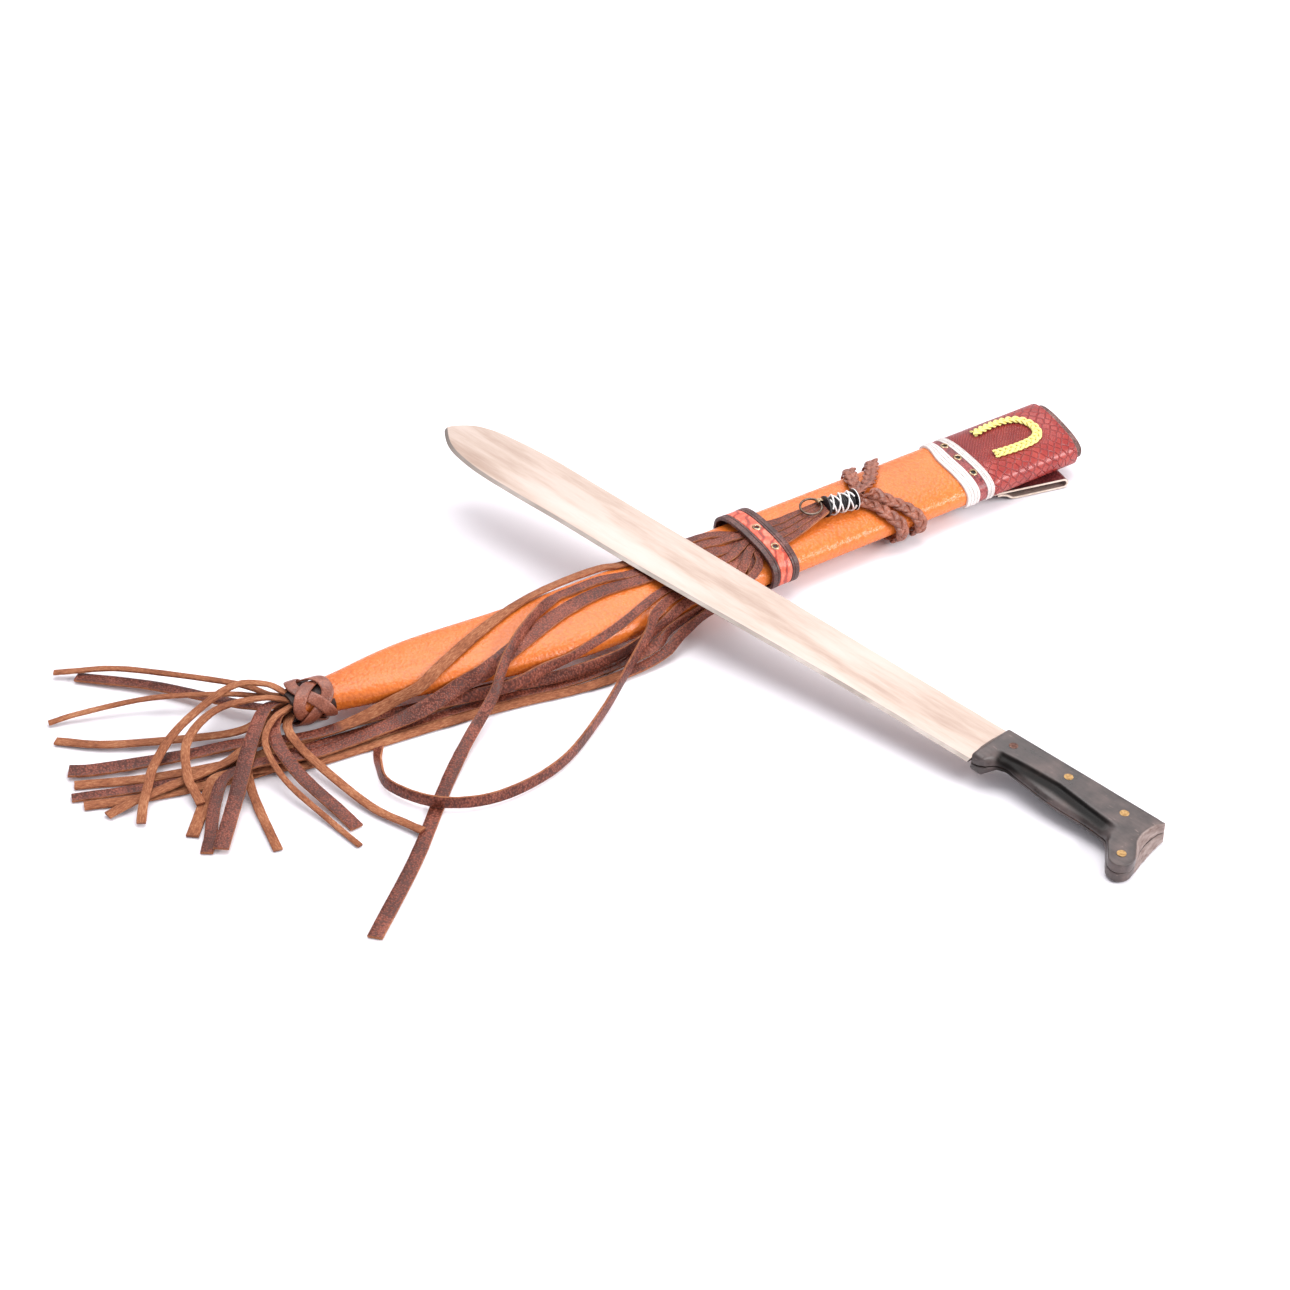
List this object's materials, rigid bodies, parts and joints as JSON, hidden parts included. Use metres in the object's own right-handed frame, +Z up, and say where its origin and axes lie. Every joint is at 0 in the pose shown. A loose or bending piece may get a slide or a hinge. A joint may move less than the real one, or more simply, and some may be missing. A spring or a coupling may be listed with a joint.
{
  "type": "machete with scabbard",
  "caption": "Machete lying across its tooled leather scabbard, with a tassel of long flat leather thongs, a sliding keeper and a belt loop.",
  "frame": {"origin": "centre of the object's box, without its free thongs, on the ground it lies on", "axes": "+X along the scabbard towards its mouth, +Y across it towards the machete's point, +Z up from the ground"},
  "size_m": [0.7966, 0.6257, 0.0552],
  "materials": {
    "sheath": "orange vegetable-tanned leather, semi-matt",
    "lining": "dark brown leather, matt",
    "collar": "red embossed leather",
    "horseshoe": "pale yellow plaited leather",
    "lacing": "white leather lace",
    "eyelet": "polished",
    "thong": "reddish brown, pebbled grain on one side, tan suede on the other",
    "ferrule": "black cord over dark leather discs",
    "ring": "plain wire",
    "keeper": "dark brown leather, matt",
    "inlay": "red leather",
    "blade": "satin ground steel",
    "horn": "dark horn with brown streaks, polished",
    "rivet": "polished, flush"
  },
  "bodies": {
    "scabbard": {"sheath_leather": "sheath", "sheath_lining": "lining", "collar": "collar", "horseshoe": "horseshoe", "strip_low": "lacing", "strip_high": "lacing", "eyelet_band": "collar", "band_eyelets": "eyelet", "belt_loop": "collar", "loop_pad": "lining", "loop_rivets": "eyelet", "tip_knot": "thong", "ferrule_core": "ferrule", "ferrule_winding": "ferrule", "ferrule_lacing": "lacing", "ring_tab": "eyelet", "braid_inner": "thong", "braid_outer": "thong", "thong_1": "thong", "thong_3": "thong", "thong_4": "thong", "thong_5": "thong", "thong_6": "thong", "thong_8": "thong", "thong_9": "thong", "thong_10": "thong", "fringe_1": "thong", "fringe_2": "thong", "fringe_3": "thong", "fringe_4": "thong", "fringe_9": "thong", "fringe_10": "thong", "fringe_11": "thong", "fringe_14": "thong", "fringe_15": "thong", "fringe_16": "thong", "fringe_17": "thong", "fringe_18": "thong"},
    "machete": {"blade": "blade", "scale_upper": "horn", "scale_lower": "horn", "handle_pins": "rivet"},
    "ring": {"ring": "ring"},
    "keeper": {"keeper_strap": "keeper", "keeper_inlay": "inlay", "keeper_eyelets": "eyelet"}
  },
  "joints": [
    {"name": "machete_lift", "type": "slide", "parent": "scabbard", "child": "machete", "axis": [0, 0, 1], "range_m": [0, 0.15]},
    {"name": "ring_swing", "type": "hinge", "parent": "scabbard", "child": "ring", "pos_m": [0.0861, 0.08825, 0.04425], "axis": [-0.1392, 0.9752, 0.172], "range_deg": [0, 114]},
    {"name": "keeper_slide", "type": "slide", "parent": "scabbard", "child": "keeper", "axis": [1, 0, 0], "range_m": [0, 0.012]}
  ]
}
